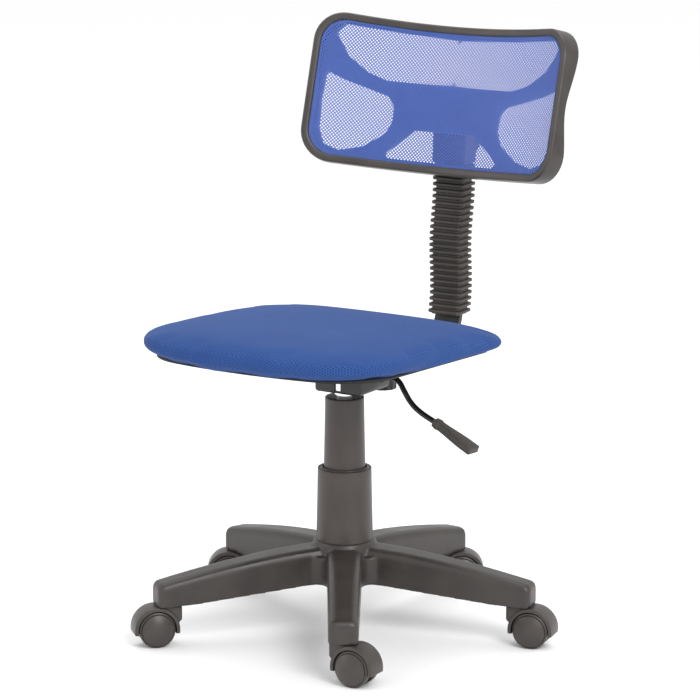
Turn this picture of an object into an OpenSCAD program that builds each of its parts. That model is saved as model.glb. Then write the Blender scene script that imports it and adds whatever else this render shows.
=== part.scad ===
// Swivel office chair: a five-leg base on twin-wheel casters, a gas spring under telescopic
// covers, a padded seat, and a small mesh backrest on a J-shaped bar.
// Millimetres. +Z is up, the seat faces -Y, and the column's axis meets the floor at the origin.

/* [Base] */
// Distance from the column to each caster stem
stem_circle_r = 250; // [225:1:290]
// Turn of the base under the seat, in degrees
base_turn = 31; // [0:1:71]
// Width of a leg at the hub
leg_root_w = 48; // [42:1:56]
// Width of a leg at its tip
leg_tip_w = 40; // [34:1:42]
// Height of a leg at its tip
leg_tip_h = 31; // [28:1:38]
// Height of a leg where it meets the hub
leg_root_h = 51; // [46:1:60]
// Rise of the leg's underside from tip to hub
leg_arch = 15; // [8:1:20]
// Wall of the moulded base
leg_wall = 3; // [2.5:0.5:4]
// Outer diameter of the hub
hub_d = 84; // [80:1:96]

/* [Casters] */
// Diameter of a wheel
wheel_d = 50; // [44:1:60]
// Width of one wheel of the pair
wheel_w = 18; // [16:1:22]
// Distance from the stem down the trail to the axle
caster_trail = 20; // [16:1:24]
// Diameter of the stem
stem_d = 11; // [10:0.5:12]
// Length of the stem inside its socket
stem_grip_l = 22; // [18:1:24]
// Diameter of the axle
axle_d = 6; // [5:0.5:8]

/* [Column] */
// Outer diameter of the spring's stand tube
tube_d = 50; // [48:1:50]
// Diameter of the sliding gas cylinder
cylinder_d = 28; // [26:1:28]
// Diameter of the piston rod
rod_d = 10; // [8:1:12]
// Height of the lower cover above the hub
lower_cover_h = 100; // [90:1:110]
// Outer diameter of the lower cover at its foot
lower_cover_d = 78; // [76:1:79]
// Height of the mechanism's underside
mech_z = 338; // [330:1:350]
// How far the seat can sink from where it stands
seat_down = 50; // [30:1:50]
// How far the seat can rise from where it stands
seat_up = 30; // [10:1:30]

/* [Mechanism] */
// Width of the steel box under the seat
box_w = 74; // [66:1:84]
// Diameter of the clamp knobs
knob_d = 38; // [30:1:42]
// Diameter of the lever's rod
lever_d = 8; // [6:1:9]

/* [Seat] */
// Width of the seat
seat_w = 400; // [360:1:460]
// Depth of the seat between its straight corners
seat_d = 386; // [340:1:430]
// How far the front edge bows forward
front_bow = 34; // [20:1:60]
// Radius of the front corners
front_corner_r = 108; // [60:1:120]
// Radius of the rear corners
rear_corner_r = 58; // [40:1:100]
// Backward tilt of the seat, in degrees
seat_tilt = 2.7; // [0:0.1:4]
// Thickness of the plywood board
board_t = 12; // [9:1:15]
// Thickness of the foam at the front
foam_front = 26; // [22:1:45]
// Thickness of the foam at the rear
foam_rear = 20; // [18:1:40]
// Thickness of the fabric cover
cover_t = 2; // [1.5:0.5:3]

/* [Back bar] */
// Width of the flat steel bar
bar_w = 40; // [32:1:42]
// Thickness of the bar
bar_t = 8; // [6:1:8]
// Distance of the upright bar behind the column, at the bend
bar_back_y = 286; // [270:1:310]
// Backward lean of the upright bar, in degrees
bar_lean = 3; // [1:0.5:5]
// Width of the bellows
bellows_w = 52; // [50:1:60]
// Depth of the bellows
bellows_d = 41; // [36:1:44]
// Number of folds in the bellows
fold_count = 25; // [15:1:32]

/* [Backrest] */
// Width of the backrest
back_w = 405; // [360:1:460]
// Height of the backrest
back_h = 216; // [195:1:250]
// Radius of the backrest's curve round the sitter
back_curve_r = 437; // [380:1:600]
// Backward recline of the backrest, in degrees
back_recline = 16; // [12:1:18]
// Radius of the backrest's corners
back_corner_r = 45; // [30:1:60]
// Width of the rim seen from the front
rim_w = 11; // [8:1:16]
// Depth of the rim from front to rear
rim_depth = 24; // [20:1:28]
// Height of the backrest's centre above the floor
back_z = 703; // [690:1:712]

/* [Hidden] */
CASTER_PARTS = ["hood", "stem", "axle", "wheel_left", "wheel_right"];

$fn = 64;
leg_count = 5;
fit = 0.05; // radial clearance of a running fit
gap = 0.4; // clearance between parts that move past each other
cut = 1; // how far a cutting shape runs past the face it cuts

black = [0.27, 0.25, 0.24];
dark = [0.2, 0.19, 0.18];
steel = [0.75, 0.75, 0.77];
zinc = [0.6, 0.6, 0.62];
blue = [0.16, 0.27, 0.62];

// Casters: the stem stands at the local origin and the axle trails along +X
wheel_r = wheel_d / 2;
hood_wall = 4.8;
wheel_gap = 1.6;
hood_r = wheel_r + wheel_gap + hood_wall;
hood_top = wheel_r + hood_r;
web_t = stem_d + 2;
wheel_inner_y = web_t / 2 + gap;
hood_half_w = wheel_inner_y + wheel_w - 8.4;
axle_l = 2 * wheel_inner_y + 1.3 * wheel_w;
trail_angle = [1, 11, 31, 211, 226];

// Base
tip_z = hood_top + 0.6;
tip_r = leg_tip_w / 2;
leg_end = stem_circle_r + tip_r;
root_z = tip_z + leg_arch;
root_top = root_z + leg_root_h;
hub_top = root_top + 7;
hub_r = hub_d / 2;
leg_start = sqrt(pow(hub_r, 2) - pow(leg_root_w / 2, 2)) - 0.5;
cover_seat_depth = 8;
socket_wall = 1.5;
socket_r = stem_d / 2 + fit + socket_wall;
socket_top = tip_z + stem_grip_l + 3;

// Column
tube_r = tube_d / 2;
tube_wall = 1.5;
tube_floor = 4;
tube_top = mech_z - 76;
bush_l = 56;
bush_flange = 3;
rod_clip_t = 1.6;
rod_bottom = root_z - rod_clip_t - 2;
bearing_h = 8;
shoulder_h = 6;
shoulder_z = root_z + tube_floor + bearing_h + 0.1;
cylinder_r = cylinder_d / 2;
cylinder_bottom = shoulder_z + shoulder_h + seat_down + 4;
gland_h = 15;
cylinder_bore_r = cylinder_r - 1.5;
taper_l = 28;
taper_top_r = cylinder_r - 0.75;
piston_h = 10;
piston_z = cylinder_bottom + gland_h + seat_up + 4;
lower_cover_r = lower_cover_d / 2;
lower_cover_top_r = lower_cover_r - 2;
cover_wall = 2;
lower_cover_z = hub_top - cover_seat_depth;
rim_z = hub_top + lower_cover_h;
upper_wall = 1.6;
upper_top = mech_z - 8;
upper_bottom = rim_z - seat_up - 10;
upper_bottom_r = tube_r + 4.6;
upper_top_r = tube_r + 1.7;
collar_r = upper_bottom_r + 0.7;

// Mechanism
sheet_t = 2.5;
box_front = -16;
box_rear = 60;
guide_w = 52;
guide_rear = 130;
guide_z = mech_z + 14;
bar_z = guide_z + 9 + bar_t / 2;
slot_gap = 0.35;
plate_w = 180;
plate_d = 214;
plate_t = 3;
plate_y = 58; // centre of the plate, in the seat's frame
bolt_x = 75;
bolt_y = 92;
bolt_d = 8;
knob_y = 102;
knob_h = 24;
screw_d = 8;
pivot_x = 28; // the lever turns about a journal along Y
pivot_z = mech_z + 36;
pivot_d = 10;
lever_path = [[-3, 0, mech_z + 40], [16, 2, mech_z + 40], [24, 6, mech_z + 38], [pivot_x, 12, pivot_z],
              [pivot_x, 30, pivot_z], [31, 38, mech_z + 30], [36, 46, mech_z + 22], [41, 50, mech_z + 17],
              [46, 50, mech_z + 14], [57, 49, mech_z + 9], [67, 47, mech_z - 3], [77, 46, mech_z - 16],
              [89, 44, mech_z - 25], [123, 40, mech_z - 40]];
grip_end = [186, 31, mech_z - 68];
button_d = 7;
button_bore = 24; // depth of the valve button's bore in the cylinder's end

// Seat, in its own tilted frame: z = 0 is the underside of the board
seat_y = -60;
seat_z = mech_z + 66;
nut_d = 10;
nut_flange_d = 20;

// Back bar
bend_r = 34;
bend_steps = 24; // flats round the bend
bar_top_z = 672;
bellows_bottom = bar_z + bend_r - 4;
bellows_top = back_z - 94;
fold_depth = 4;
bar_run = bar_top_z - bar_z - bend_r;

// Backrest, in its own reclined frame: z = 0 is its middle and y = 0 the mesh's front face
mesh_t = 1.2;
back_offset = 23.5; // how far the mesh stands in front of the bar
strut_front = 8;
strut_rear = 14;
pad_rear = 15;
bracket_w = 52;
bracket_d = 32;
bracket_bottom = bellows_top + 1;
bracket_top = bracket_bottom + 84;
height_knob_z = bracket_bottom + 26;
slot_w = bar_w + 2 * slot_gap;
slot_t = bar_t + 2 * slot_gap;

// Centre of the upright bar at height z
function bar_y(z) = bar_back_y + (z - bar_z - bend_r) * tan(bar_lean);
back_y = bar_y(back_z) - back_offset;
function leg_angle(k) = -90 + base_turn + k * 360 / leg_count;

module ring(r_out, r_in, z0, z1) {
    translate([0, 0, z0]) difference() {
        cylinder(r = r_out, h = z1 - z0);
        translate([0, 0, -cut]) cylinder(r = r_in, h = z1 - z0 + 2 * cut);
    }
}

module turned(profile) rotate_extrude() polygon(profile);

// A bar of round section through a list of points, as one closed surface
module swept_rod(path, r, sides = 12) {
    n = len(path);
    dir = [for (i = [0:n - 1]) let (d = path[min(i + 1, n - 1)] - path[max(i - 1, 0)]) d / norm(d)];
    across = [for (d = dir) let (c = cross([0, 1, 0], d)) c / norm(c)];
    points = [for (i = [0:n - 1], j = [0:sides - 1]) let (a = 360 * j / sides)
        path[i] + r * (cos(a) * across[i] + sin(a) * cross(dir[i], across[i]))];
    walls = [for (i = [0:n - 2], j = [0:sides - 1]) let (k = (j + 1) % sides)
        [i * sides + k, i * sides + j, (i + 1) * sides + j, (i + 1) * sides + k]];
    polyhedron(points, concat([[for (j = [0:sides - 1]) j]], walls,
                              [[for (j = [0:sides - 1]) n * sides - 1 - j]]));
}

// ---- Base ----

module on_legs() for (k = [0:leg_count - 1]) rotate(leg_angle(k)) children();

// Side outline of a leg: bowed top, rising underside
module leg_side(wall) {
    steps = 8;
    top = [for (i = [0:steps]) let (s = i / steps) [leg_start * (1 - s) + leg_end * s,
        tip_z + leg_tip_h - wall + (root_top - tip_z - leg_tip_h) * (1 - pow(s, 1.5))]];
    low = wall > 0 ? [[leg_end, tip_z - cut], [leg_start, tip_z - cut]]
                   : [[leg_end, tip_z], [stem_circle_r - tip_r, tip_z], [hub_r + 4, root_z + 1], [leg_start, root_z + 1]];
    polygon(concat(top, low));
}

// Plan of a leg: straight taper to a round tip
module leg_plan(wall) {
    root = leg_root_w / 2 - wall;
    tip = tip_r - wall;
    polygon(concat([[leg_start, -root], [hub_r, -root]],
                   [for (a = [-85:10:85]) [stem_circle_r + tip * cos(a), tip * sin(a)]],
                   [[hub_r, root], [leg_start, root]]));
}

module leg_block(wall) {
    intersection() {
        rotate([90, 0, 0]) translate([0, 0, -leg_root_w]) linear_extrude(2 * leg_root_w) leg_side(wall);
        linear_extrude(root_top + cut) leg_plan(wall);
    }
}

module leg_hollow() {
    boss_r = socket_r + leg_wall + 1;
    rib_pitch = 42;
    difference() {
        leg_block(leg_wall);
        cylinder(r = hub_r + 0.5, h = hub_top + cut);
        translate([stem_circle_r, 0, 0]) cylinder(r = boss_r, h = hub_top);
        for (x = [hub_r + rib_pitch / 2:rib_pitch:stem_circle_r - boss_r])
            translate([x, -leg_root_w, 0]) cube([leg_wall, 2 * leg_root_w, hub_top]);
    }
}

module star_base() color(black) difference() {
    union() {
        on_legs() leg_block(0);
        translate([0, 0, root_z]) cylinder(r = hub_r, h = hub_top - root_z);
    }
    on_legs() leg_hollow();
    on_legs() translate([stem_circle_r, 0, tip_z - cut]) cylinder(r = socket_r + fit, h = socket_top - tip_z + cut);
    translate([0, 0, root_z - cut]) cylinder(r = tube_r + fit, h = hub_top - root_z + 2 * cut);
    translate([0, 0, lower_cover_z]) cylinder(r = lower_cover_r + fit, h = cover_seat_depth + cut);
    ring(hub_r - leg_wall, tube_r + fit + leg_wall, root_z - cut, root_top - 8);
}

module caster_sockets() color(zinc) on_legs() translate([stem_circle_r, 0, 0]) difference() {
    translate([0, 0, tip_z]) cylinder(r = socket_r, h = socket_top - tip_z);
    translate([0, 0, tip_z - cut]) cylinder(r = stem_d / 2 + fit, h = socket_top - tip_z - socket_wall + cut);
}

// ---- Casters ----

module place_caster(k) rotate(leg_angle(k)) translate([stem_circle_r, 0, 0])
    rotate(trail_angle[k] - leg_angle(k)) children();

module on_axle() translate([caster_trail, 0, wheel_r]) rotate([90, 0, 0]) children();

module caster_hood() color(black) difference() {
    union() {
        intersection() {
            on_axle() cylinder(r = hood_r, h = 2 * hood_half_w, center = true);
            translate([-hood_r, -hood_half_w, wheel_r - 6]) cube([3 * hood_r, 2 * hood_half_w, hood_r + 6]);
        }
        intersection() {
            translate([-15, -13, hood_top - 28]) cube([15 + caster_trail, 26, 28]);
            rotate([0, 45, 0]) translate([-60, -13, -9]) cube([120, 26, 120]);
        }
    }
    for (side = [-1, 1]) on_axle() translate([0, 0, side * (web_t / 2 + hood_half_w)])
        cylinder(r = wheel_r + wheel_gap, h = 2 * hood_half_w, center = true);
    on_axle() cylinder(r = axle_d / 2 + fit, h = 2 * hood_r, center = true);
    translate([0, 0, hood_top - 21]) cylinder(r = stem_d / 2 + fit, h = 21 + cut);
}

module caster_stem() color(zinc) turned([
    [0, hood_top - 20], [stem_d / 2, hood_top - 20], [stem_d / 2, tip_z + stem_grip_l - 7],
    [stem_d / 2 - 1, tip_z + stem_grip_l - 6], [stem_d / 2 - 1, tip_z + stem_grip_l - 3],
    [stem_d / 2, tip_z + stem_grip_l - 2], [stem_d / 2 - 1.5, tip_z + stem_grip_l],
    [0, tip_z + stem_grip_l]]);

module caster_axle() color(steel) on_axle() cylinder(r = axle_d / 2, h = axle_l, center = true);

// One wheel of a pair: a tread with a domed outer face and a hollow inner side
module caster_wheel(side) {
    dome_r = 38.5 * wheel_r / 25;
    color(black) on_axle() rotate([side > 0 ? 180 : 0, 0, 0]) translate([0, 0, wheel_inner_y]) difference() {
        intersection() {
            cylinder(r = wheel_r, h = wheel_w);
            translate([0, 0, wheel_w - dome_r]) sphere(r = dome_r, $fn = 96);
        }
        translate([0, 0, -cut]) cylinder(r = axle_d / 2 + fit, h = (axle_l - 2 * wheel_inner_y) / 2 + 0.5 + cut);
        ring(wheel_r - 4, axle_d / 2 + 5, -cut, wheel_w * 0.45);
    }
}

module caster(k, part) place_caster(k) {
    if (part == "hood") caster_hood();
    if (part == "stem") caster_stem();
    if (part == "axle") caster_axle();
    if (part == "wheel_left") caster_wheel(1);
    if (part == "wheel_right") caster_wheel(-1);
}

// ---- Column ----

module stand_tube() color(dark) difference() {
    translate([0, 0, root_z]) cylinder(r = tube_r, h = tube_top - root_z);
    translate([0, 0, root_z + tube_floor]) cylinder(r = tube_r - tube_wall, h = tube_top - root_z);
    translate([0, 0, root_z - cut]) cylinder(r = rod_d / 2 + 0.5, h = tube_floor + 2 * cut);
}

module guide_bush() color(black) difference() {
    union() {
        translate([0, 0, tube_top - bush_l]) cylinder(r = tube_r - tube_wall - fit, h = bush_l);
        translate([0, 0, tube_top]) cylinder(r = tube_r, h = bush_flange);
    }
    translate([0, 0, tube_top - bush_l - cut]) cylinder(r = cylinder_r + fit, h = bush_l + bush_flange + 2 * cut);
}

module thrust_bearing() color(steel)
    ring(rod_d / 2 + 8, rod_d / 2 + 0.6, root_z + tube_floor, root_z + tube_floor + bearing_h);

module lower_cover() color(black) turned([
    [lower_cover_r, lower_cover_z], [lower_cover_top_r, rim_z - 1], [lower_cover_top_r - 1, rim_z],
    [lower_cover_top_r - cover_wall, rim_z], [lower_cover_r - cover_wall, lower_cover_z]]);

module cover_collar() {
    collar_edge = lower_cover_top_r - cover_wall - fit;
    color(black) turned([
        [collar_r, rim_z - 6], [collar_edge, rim_z - 6], [collar_edge, rim_z - 1],
        [collar_r + 2.2, rim_z - 1], [collar_r + 1.6, rim_z + 2], [collar_r, rim_z + 2]]);
}

module piston_rod() color(steel) union() {
    translate([0, 0, rod_bottom]) cylinder(r = rod_d / 2, h = piston_z - rod_bottom);
    translate([0, 0, shoulder_z]) cylinder(r = rod_d / 2 + 4, h = shoulder_h);
}

module piston() color(zinc) translate([0, 0, piston_z]) cylinder(r = cylinder_bore_r - fit, h = piston_h);

module rod_clip() color(steel)
    ring(rod_d / 2 + 5, rod_d / 2, root_z - rod_clip_t - 0.3, root_z - 0.3);

module gas_cylinder() color(steel) difference() {
    union() {
        translate([0, 0, cylinder_bottom]) cylinder(r = cylinder_r, h = mech_z - cylinder_bottom);
        translate([0, 0, mech_z]) cylinder(r1 = cylinder_r, r2 = taper_top_r, h = taper_l);
    }
    translate([0, 0, cylinder_bottom - cut]) cylinder(r = rod_d / 2 + fit, h = gland_h + 2 * cut);
    translate([0, 0, cylinder_bottom + gland_h]) cylinder(r = cylinder_bore_r, h = mech_z - 20 - cylinder_bottom - gland_h);
    translate([0, 0, mech_z + taper_l - button_bore]) cylinder(r = button_d / 2 + fit, h = button_bore + cut);
}

module upper_cover() color(black) turned([
    [upper_bottom_r, upper_bottom], [upper_top_r, upper_top - 1], [upper_top_r - 1, upper_top],
    [cylinder_r + 0.3, upper_top], [cylinder_r + 0.3, upper_top - 3],
    [upper_top_r - upper_wall, upper_top - 3], [upper_bottom_r - upper_wall, upper_bottom]]);

// ---- Mechanism ----

module in_seat() translate([0, seat_y, seat_z]) rotate([-seat_tilt, 0, 0]) children();

// Everything above the underside of the seat plate
module above_plate() in_seat() translate([-plate_w, -plate_d, -plate_t]) cube([2 * plate_w, 2 * plate_d, 200]);

module taper_socket() color(dark) difference() {
    translate([0, 0, mech_z]) cylinder(r = cylinder_r + 4, h = taper_l - 2);
    translate([0, 0, mech_z - 0.01]) cylinder(r1 = cylinder_r + fit, r2 = taper_top_r + fit, h = taper_l);
}

// Block on the box's side wall that holds the lever's journal
module lever_bearing() difference() {
    translate([pivot_x - 8, 16, pivot_z - 8]) cube([box_w / 2 - sheet_t - pivot_x + 8 + 0.5, 10, 16]);
    translate([pivot_x, 15, pivot_z]) rotate([-90, 0, 0]) cylinder(r = pivot_d / 2 + fit, h = 12);
}

module mechanism_box() color(dark) union() {
    lever_bearing();
    folded_box();
}

module folded_box() difference() {
    union() {
        translate([-box_w / 2, box_front, mech_z]) cube([box_w, box_rear - box_front, 90]);
        translate([-guide_w / 2, box_rear - sheet_t, guide_z]) cube([guide_w, guide_rear - box_rear + sheet_t, 80]);
    }
    above_plate();
    translate([-box_w / 2 + sheet_t, box_front - cut, mech_z + sheet_t])
        cube([box_w - 2 * sheet_t, box_rear - box_front - sheet_t + cut, 90]);
    translate([0, 0, mech_z - cut]) cylinder(r = cylinder_r + 4 + fit, h = sheet_t + 2 * cut);
    translate([-slot_w / 2, box_front, bar_z - slot_t / 2]) cube([slot_w, guide_rear - box_front + cut, slot_t]);
    translate([-guide_w / 2 + 6, box_rear, bar_z + bar_t / 2 + 5]) cube([guide_w - 12, guide_rear, 80]);
    translate([0, knob_y, guide_z - cut]) cylinder(r = screw_d / 2 + fit, h = 12);
    translate([box_w / 2 - sheet_t - cut, 34, mech_z + 8]) cube([sheet_t + 2 * cut, 23, 27]);
}

module bolt_spots() for (x = [-1, 1], y = [-1, 1])
    translate([x * bolt_x, plate_y + y * bolt_y, 0]) children();

module seat_plate() color(dark) in_seat() difference() {
    translate([-plate_w / 2, plate_y - plate_d / 2, -plate_t]) cube([plate_w, plate_d, plate_t]);
    bolt_spots() translate([0, 0, -plate_t - cut]) cylinder(r = bolt_d / 2 + 0.5, h = plate_t + 2 * cut);
}

module plate_bolts() color(zinc) in_seat() bolt_spots() {
    translate([0, 0, -plate_t - 5]) cylinder(r = 7, h = 5, $fn = 6);
    translate([0, 0, -plate_t - 0.5]) cylinder(r = bolt_d / 2, h = plate_t + board_t + 0.5);
}

module t_nuts() color(zinc) in_seat() bolt_spots() difference() {
    union() {
        translate([0, 0, 3]) cylinder(r = nut_d / 2, h = board_t - 3);
        translate([0, 0, board_t]) cylinder(r = nut_flange_d / 2, h = 1.5);
    }
    translate([0, 0, 3 - cut]) cylinder(r = bolt_d / 2 + fit, h = board_t + 2 * cut);
}

module depth_knob() color(black) difference() {
    union() {
        translate([0, knob_y, guide_z - 7 - knob_h]) cylinder(r = knob_d / 2 - 2, h = knob_h);
        for (a = [0:30:330]) translate([0, knob_y, guide_z - 7 - knob_h]) rotate(a)
            translate([knob_d / 2 - 3, 0, 0]) cylinder(r = 3, h = knob_h);
    }
    translate([0, knob_y, guide_z - 7 - knob_h + 6]) cylinder(r = screw_d / 2 + fit, h = knob_h);
}

module depth_screw() color(zinc) translate([0, knob_y, guide_z - 7 - knob_h + 6.5])
    cylinder(r = screw_d / 2, h = bar_z - slot_t / 2 - guide_z + 0.5 + knob_h);

module valve_button() color(steel) translate([0, 0, mech_z + taper_l - 19])
    cylinder(r = button_d / 2, h = lever_path[0][2] - lever_d / 2 - 0.15 - mech_z - taper_l + 19);

module lever_rod() color(dark) union() {
    swept_rod(lever_path, lever_d / 2);
    translate([pivot_x, 14, pivot_z]) rotate([-90, 0, 0]) cylinder(r = pivot_d / 2, h = 14);
}

module lever_grip() color(black) {
    start = lever_path[len(lever_path) - 1];
    along = (grip_end - start) / norm(grip_end - start);
    translate(start) rotate([0, -asin(along[2]), atan2(along[1], along[0])]) hull() {
        translate([0.1, 0, 0]) rotate([0, 90, 0]) cylinder(r = 6, h = 4, $fn = 24);
        translate([norm(grip_end - start) - 6, 0, 0]) cube([12, 22, 10], center = true);
    }
}

// ---- Seat ----

// Outline of the seat, drawn in from its edge by inset
module seat_outline(inset) {
    bow_r = (pow(seat_w / 2, 2) + pow(front_bow, 2)) / (2 * front_bow);
    offset(delta = -inset) hull() {
        offset(r = front_corner_r) offset(delta = -front_corner_r) intersection() {
            translate([-seat_w / 2, -seat_d / 2 - front_bow]) square([seat_w, seat_d - rear_corner_r + front_bow]);
            translate([0, -seat_d / 2 - front_bow + bow_r]) circle(bow_r, $fn = 180);
        }
        for (x = [-1, 1])
            translate([x * (seat_w / 2 - rear_corner_r), seat_d / 2 - rear_corner_r]) circle(rear_corner_r);
    }
}

// The seat's block from z0 up to the foam's sloping top, raised by extra
module seat_block(inset, z0, extra) intersection() {
    translate([0, 0, z0]) linear_extrude(100) seat_outline(inset);
    rotate([90, 0, 90]) translate([0, 0, -seat_w]) linear_extrude(2 * seat_w) polygon([
        [-seat_d, z0], [seat_d, z0], [seat_d, board_t + foam_rear - 3 + extra],
        [-seat_d / 2, board_t + foam_front + extra], [-seat_d, board_t + foam_front + extra - 4]]);
}

module seat_board() color([0.76, 0.6, 0.4]) in_seat() difference() {
    linear_extrude(board_t) seat_outline(cover_t);
    bolt_spots() translate([0, 0, -cut]) cylinder(r = nut_d / 2 + fit, h = board_t + 2 * cut);
}

module seat_foam() color([0.9, 0.88, 0.8]) in_seat() difference() {
    seat_block(cover_t, board_t, 0);
    bolt_spots() translate([0, 0, board_t - cut]) cylinder(r = nut_flange_d / 2 + 0.3, h = 2 + cut);
}

module seat_cover() color(blue) in_seat() difference() {
    seat_block(0, -cover_t, cover_t);
    seat_block(cover_t, 0, 0);
    translate([0, 0, -cover_t - cut]) linear_extrude(cover_t + 2 * cut) seat_outline(24);
}

module underside_cover() color(dark) in_seat() difference() {
    translate([0, 0, -cover_t]) linear_extrude(cover_t) seat_outline(24 + gap);
    translate([-plate_w / 2 - gap, plate_y - plate_d / 2 - gap, -cover_t - cut])
        cube([plate_w + 2 * gap, plate_d + 2 * gap, cover_t + 2 * cut]);
}

// ---- Back bar ----

// Points round an arc that starts straight down and ends turned by turn
function arc_points(r, turn) = [
    for (i = [0:bend_steps]) r * [sin(turn * i / bend_steps), -cos(turn * i / bend_steps)]
];

// Side outline of the bar: along under the seat, round the bend, and up with a lean
module bar_side() {
    turn = 90 - bar_lean;
    bend_y = bar_back_y - bend_r;
    front_y = 48;
    up = bar_run * [cos(turn), sin(turn)];
    below = arc_points(bend_r + bar_t / 2, turn);
    above = arc_points(bend_r - bar_t / 2, turn);
    translate([bend_y, bar_z + bend_r]) polygon(concat(
        [[front_y - bend_y, -bend_r - bar_t / 2]],
        below,
        [below[bend_steps] + up, above[bend_steps] + up],
        [for (i = [bend_steps:-1:0]) above[i]],
        [[front_y - bend_y, -bend_r + bar_t / 2]]
    ));
}
module back_bar() color(dark) rotate([90, 0, 90]) translate([0, 0, -bar_w / 2])
    linear_extrude(bar_w) bar_side();

// Places children on the upright bar's centre line at height z, with local +Z up along it
module on_bar(z) translate([0, bar_y(z), z]) rotate([-bar_lean, 0, 0]) children();

module bar_bellows() {
    pitch = (bellows_top - bellows_bottom) / fold_count;
    color(black) on_bar(bellows_bottom) difference() {
        for (i = [0:fold_count - 1]) translate([0, 0, i * pitch]) {
            translate([-bellows_w / 2, -bellows_d / 2, 0]) cube([bellows_w, bellows_d, pitch / 2]);
            translate([-bellows_w / 2 + fold_depth, -bellows_d / 2 + fold_depth, pitch / 2])
                cube([bellows_w - 2 * fold_depth, bellows_d - 2 * fold_depth, pitch / 2]);
        }
        translate([-slot_w / 2 - 0.5, -slot_t / 2 - 5, -cut]) cube([slot_w + 1, slot_t + 10, bellows_top]);
    }
}

// ---- Backrest ----

module in_back() translate([0, back_y, back_z]) rotate([-back_recline, 0, 0]) children();

// Outline of the backrest seen from the front: slightly dished along its top
module back_outline(inset) {
    dish = 6;
    w = back_w / 2 - inset;
    h = back_h / 2 - inset;
    r = back_corner_r - inset * 0.8;
    offset(r = r, $fn = 64) offset(delta = -r)
        polygon([[-w, -h], [w, -h], [w + 2, h], [w * 0.45, h - dish * 0.8], [0, h - dish],
                 [-w * 0.45, h - dish * 0.8], [-w - 2, h]]);
}

// A shell round the sitter's back, from depth a to depth b behind the mesh's front face
module curved_shell(a, b) {
    translate([0, -back_curve_r, -back_h]) difference() {
        cylinder(r = back_curve_r + b, h = 2 * back_h, $fn = 180);
        translate([0, 0, -cut]) cylinder(r = back_curve_r + a, h = 2 * back_h + 2 * cut, $fn = 180);
    }
}

// Extrudes a front outline through the curved panel
module through_panel() translate([0, 80, 0]) rotate([90, 0, 0]) linear_extrude(160) children();

module back_mesh() color([0.3, 0.42, 0.75]) in_back() intersection() {
    curved_shell(0, mesh_t);
    through_panel() back_outline(rim_w - 4);
}

module back_rim() color(black) in_back() difference() {
    intersection() {
        curved_shell(-3, rim_depth);
        through_panel() difference() {
            back_outline(0);
            back_outline(rim_w);
        }
    }
    intersection() {
        curved_shell(-fit, strut_rear + fit);
        through_panel() back_outline(rim_w - 4 - fit);
    }
}

// Half of the openings between the struts; the other half is mirrored
module strut_openings() offset(r = 5, $fn = 24) offset(delta = -5) {
    polygon([[-0.01, 84], [86, 87], [170, 91], [180, 76], [160, 46], [130, 26], [100, 17], [50, 18], [-0.01, 19]]);
    polygon([[186, 22], [160, 12], [125, 3], [95, -5], [85, -18], [84, -40], [92, -58], [122, -80], [155, -89],
             [178, -82], [186, -60], [188, -20]]);
    polygon([[-0.01, -48], [50, -48], [62, -60], [92, -86], [85, -92], [-0.01, -92]]);
}

module back_frame() color([0.25, 0.38, 0.66]) in_back() difference() {
    union() {
        intersection() {
            curved_shell(strut_front, strut_rear);
            through_panel() difference() {
                back_outline(rim_w - 4);
                strut_openings();
                mirror([1, 0]) strut_openings();
            }
        }
        intersection() {
            curved_shell(mesh_t + fit, strut_rear);
            through_panel() difference() {
                back_outline(rim_w - 4);
                back_outline(rim_w + 2);
            }
        }
        translate([-bracket_w / 2 - 4, strut_front + 1, -46]) cube([bracket_w + 8, pad_rear - strut_front - 1, 62]);
    }
    bracket_screw_spots() rotate([90, 0, 0]) cylinder(r = 2.05, h = 12, center = true);
}

module bracket_screw_spots() for (x = [-1, 1], z = [-38, -10])
    translate([x * (bracket_w / 2 - 4), pad_rear, z]) children();

module back_bracket() color(black) difference() {
    rotate([90, 0, 90]) translate([0, 0, -bracket_w / 2]) linear_extrude(bracket_w) polygon([
        [bar_y(bracket_bottom) - bracket_d / 2, bracket_bottom], [bar_y(bracket_top) - bracket_d / 2, bracket_top],
        [bar_y(bracket_top) + bracket_d / 2, bracket_top], [bar_y(bracket_bottom) + bracket_d / 2, bracket_bottom]]);
    in_back() translate([-bracket_w, pad_rear - 100, -back_h]) cube([2 * bracket_w, 100, 2 * back_h]);
    on_bar(bracket_bottom) translate([-slot_w / 2, -slot_t / 2, -10]) cube([slot_w, slot_t, 150]);
    on_bar(height_knob_z) rotate([-90, 0, 0]) cylinder(r = screw_d / 2 + fit, h = bracket_d);
    in_back() bracket_screw_spots() rotate([90, 0, 0]) cylinder(r = 2.05, h = 60, center = true);
}

module bracket_screws() color(zinc) in_back() bracket_screw_spots() rotate([90, 0, 0])
    translate([0, 0, -5]) cylinder(r = 2, h = 10.5);

module height_knob() color(black) on_bar(height_knob_z) rotate([-90, 0, 0]) difference() {
    union() {
        translate([0, 0, bracket_d / 2 + 4]) cylinder(r = knob_d / 2 - 2, h = knob_h - 4);
        for (a = [0:30:330]) rotate(a) translate([knob_d / 2 - 3, 0, bracket_d / 2 + 4]) cylinder(r = 3, h = knob_h - 4);
    }
    cylinder(r = screw_d / 2 + fit, h = bracket_d / 2 + knob_h - 6);
}

module height_screw() color(zinc) on_bar(height_knob_z) rotate([-90, 0, 0])
    translate([0, 0, slot_t / 2]) cylinder(r = screw_d / 2, h = bracket_d / 2 + knob_h - 7 - slot_t / 2);

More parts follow.
